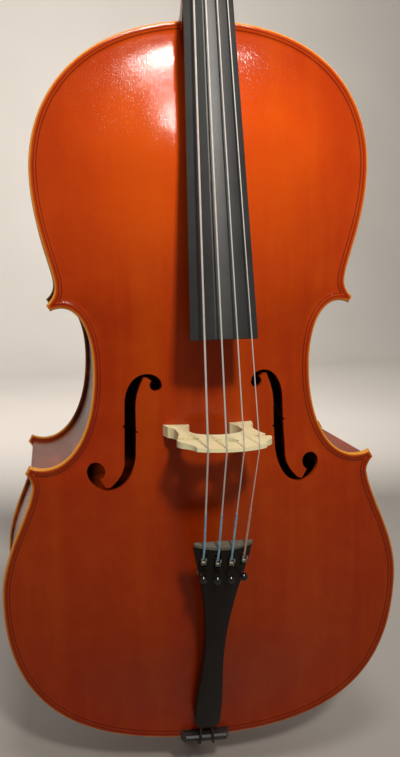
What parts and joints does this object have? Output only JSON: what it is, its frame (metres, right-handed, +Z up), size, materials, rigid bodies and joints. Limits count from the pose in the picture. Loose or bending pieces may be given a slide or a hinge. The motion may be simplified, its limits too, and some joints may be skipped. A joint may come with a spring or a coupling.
{
  "type": "cello",
  "caption": "Full-size cello with arched top and back, carved scroll, turning pegs, bridge, tailpiece with fine tuners and a sliding endpin.",
  "frame": {"origin": "centre of the endpin's rubber foot on the floor, with the endpin pushed in", "axes": "+Z up along the body's centre line to the scroll, -Y out of the front, +X towards the thinnest string's side; y = 0 lies midway through the ribs"},
  "size_m": [0.432, 0.258, 1.2765],
  "materials": {
    "spruce_top": "glossy orange-red varnish over straight-grained spruce",
    "maple_body": "glossy orange-red varnish over maple",
    "bare_spruce": "bare wood",
    "fingerboard_ebony": "satin ebony",
    "dark_wood": "polished ebony",
    "bridge_maple": "bare pale maple",
    "black_tailpiece": "satin black",
    "grey_fret": "grey-olive",
    "cord_black": "braided",
    "steel": "satin",
    "black_heads": "knurled, polished",
    "string_steel": "wound flat ribbon",
    "brass": "plain",
    "blue_silk": "wound silk thread",
    "rubber": "matte"
  },
  "bodies": {
    "cello": {"top_plate": "spruce_top", "back_plate": "maple_body", "rib_lower_bass": "maple_body", "rib_lower_treble": "maple_body", "rib_waist_bass": "maple_body", "rib_waist_treble": "maple_body", "rib_upper_bass": "maple_body", "rib_upper_treble": "maple_body", "top_linings": "bare_spruce", "back_linings": "bare_spruce", "neck_block": "bare_spruce", "end_block": "bare_spruce", "corner_blocks": "bare_spruce", "bass_bar": "bare_spruce", "soundpost": "bare_spruce", "neck": "maple_body", "fingerboard": "fingerboard_ebony", "nut": "fingerboard_ebony", "bridge": "bridge_maple", "saddle": "dark_wood", "tailpiece": "black_tailpiece", "tailpiece_fret": "grey_fret", "tail_cord": "cord_black", "tuner_axle": "steel", "string_silks": "blue_silk", "endpin_collar": "dark_wood", "string_c": "string_steel", "string_g": "string_steel", "string_d": "string_steel", "string_a": "string_steel"},
    "peg_c": {"peg_c": "dark_wood", "string_turns_c": "string_steel"},
    "peg_g": {"peg_g": "dark_wood", "string_turns_g": "string_steel"},
    "peg_d": {"peg_d": "dark_wood", "string_turns_d": "string_steel"},
    "peg_a": {"peg_a": "dark_wood", "string_turns_a": "string_steel"},
    "tuner_screw_c": {"tuner_screw_c": "steel"},
    "tuner_knob_c": {"tuner_knob_c": "black_heads"},
    "tuner_lever_c": {"tuner_lever_c": "steel", "string_ball_c": "brass"},
    "tuner_screw_g": {"tuner_screw_g": "steel"},
    "tuner_knob_g": {"tuner_knob_g": "black_heads"},
    "tuner_lever_g": {"tuner_lever_g": "steel", "string_ball_g": "brass"},
    "tuner_screw_d": {"tuner_screw_d": "steel"},
    "tuner_knob_d": {"tuner_knob_d": "black_heads"},
    "tuner_lever_d": {"tuner_lever_d": "steel", "string_ball_d": "brass"},
    "tuner_screw_a": {"tuner_screw_a": "steel"},
    "tuner_knob_a": {"tuner_knob_a": "black_heads"},
    "tuner_lever_a": {"tuner_lever_a": "steel", "string_ball_a": "brass"},
    "endpin": {"endpin_rod": "steel", "rubber_foot": "rubber"},
    "clamp_screw": {"clamp_screw": "steel"},
    "clamp_knob": {"clamp_knob": "black_heads"}
  },
  "joints": [
    {"name": "peg_c_turn", "type": "hinge", "parent": "cello", "child": "peg_c", "pos_m": [0, -0.01567, 1.10605], "axis": [-1, 0, 0], "continuous": true},
    {"name": "peg_g_turn", "type": "hinge", "parent": "cello", "child": "peg_g", "pos_m": [0, 0.0068, 1.16811], "axis": [-1, 0, 0], "continuous": true},
    {"name": "peg_d_turn", "type": "hinge", "parent": "cello", "child": "peg_d", "pos_m": [0, 0.01803, 1.19914], "axis": [1, 0, 0], "continuous": true},
    {"name": "peg_a_turn", "type": "hinge", "parent": "cello", "child": "peg_a", "pos_m": [0, -0.00444, 1.13708], "axis": [1, 0, 0], "continuous": true},
    {"name": "tuner_c_turn", "type": "hinge", "parent": "tuner_screw_c", "child": "tuner_knob_c", "pos_m": [-0.01965, -0.13024, 0.28265], "axis": [0, 0.9636, 0.2673], "range_deg": [-1081, 1081]},
    {"name": "tuner_c_screw", "type": "slide", "parent": "cello", "child": "tuner_screw_c", "axis": [0, 0.9636, 0.2673], "range_m": [-0.0021, 0.0021]},
    {"name": "tuner_c_lever", "type": "hinge", "parent": "cello", "child": "tuner_lever_c", "pos_m": [-0.01965, -0.13096, 0.30268], "axis": [1, 0, 0], "range_deg": [-6.18, 6.18]},
    {"name": "tuner_g_turn", "type": "hinge", "parent": "tuner_screw_g", "child": "tuner_knob_g", "pos_m": [-0.00655, -0.13311, 0.28185], "axis": [0, 0.9636, 0.2673], "range_deg": [-1081, 1081]},
    {"name": "tuner_g_screw", "type": "slide", "parent": "cello", "child": "tuner_screw_g", "axis": [0, 0.9636, 0.2673], "range_m": [-0.0021, 0.0021]},
    {"name": "tuner_g_lever", "type": "hinge", "parent": "cello", "child": "tuner_lever_g", "pos_m": [-0.00655, -0.13096, 0.30268], "axis": [1, 0, 0], "range_deg": [-6.18, 6.18]},
    {"name": "tuner_d_turn", "type": "hinge", "parent": "tuner_screw_d", "child": "tuner_knob_d", "pos_m": [0.00655, -0.13311, 0.28185], "axis": [0, 0.9636, 0.2673], "range_deg": [-1081, 1081]},
    {"name": "tuner_d_screw", "type": "slide", "parent": "cello", "child": "tuner_screw_d", "axis": [0, 0.9636, 0.2673], "range_m": [-0.0021, 0.0021]},
    {"name": "tuner_d_lever", "type": "hinge", "parent": "cello", "child": "tuner_lever_d", "pos_m": [0.00655, -0.13096, 0.30268], "axis": [1, 0, 0], "range_deg": [-6.18, 6.18]},
    {"name": "tuner_a_turn", "type": "hinge", "parent": "tuner_screw_a", "child": "tuner_knob_a", "pos_m": [0.01965, -0.13024, 0.28265], "axis": [0, 0.9636, 0.2673], "range_deg": [-1081, 1081]},
    {"name": "tuner_a_screw", "type": "slide", "parent": "cello", "child": "tuner_screw_a", "axis": [0, 0.9636, 0.2673], "range_m": [-0.0021, 0.0021]},
    {"name": "tuner_a_lever", "type": "hinge", "parent": "cello", "child": "tuner_lever_a", "pos_m": [0.01965, -0.13096, 0.30268], "axis": [1, 0, 0], "range_deg": [-6.18, 6.18]},
    {"name": "endpin_slide", "type": "slide", "parent": "cello", "child": "endpin", "axis": [0, 0, -1], "range_m": [0, 0.35]},
    {"name": "clamp_turn", "type": "hinge", "parent": "clamp_screw", "child": "clamp_knob", "pos_m": [-0.014, 0, 0.0345], "axis": [-1, 0, 0], "range_deg": [0, 721]},
    {"name": "clamp_slide", "type": "slide", "parent": "cello", "child": "clamp_screw", "axis": [-1, 0, 0], "range_m": [0, 0.002]}
  ],
  "couplings": [
    {"joint": "tuner_c_turn", "follows": "tuner_c_screw", "rad_per_m": 8976},
    {"joint": "tuner_c_lever", "follows": "tuner_c_screw", "rad_per_m": 51.282},
    {"joint": "tuner_g_turn", "follows": "tuner_g_screw", "rad_per_m": 8976},
    {"joint": "tuner_g_lever", "follows": "tuner_g_screw", "rad_per_m": 51.282},
    {"joint": "tuner_d_turn", "follows": "tuner_d_screw", "rad_per_m": 8976},
    {"joint": "tuner_d_lever", "follows": "tuner_d_screw", "rad_per_m": 51.282},
    {"joint": "tuner_a_turn", "follows": "tuner_a_screw", "rad_per_m": 8976},
    {"joint": "tuner_a_lever", "follows": "tuner_a_screw", "rad_per_m": 51.282},
    {"joint": "clamp_turn", "follows": "clamp_slide", "rad_per_m": 6283.2}
  ]
}
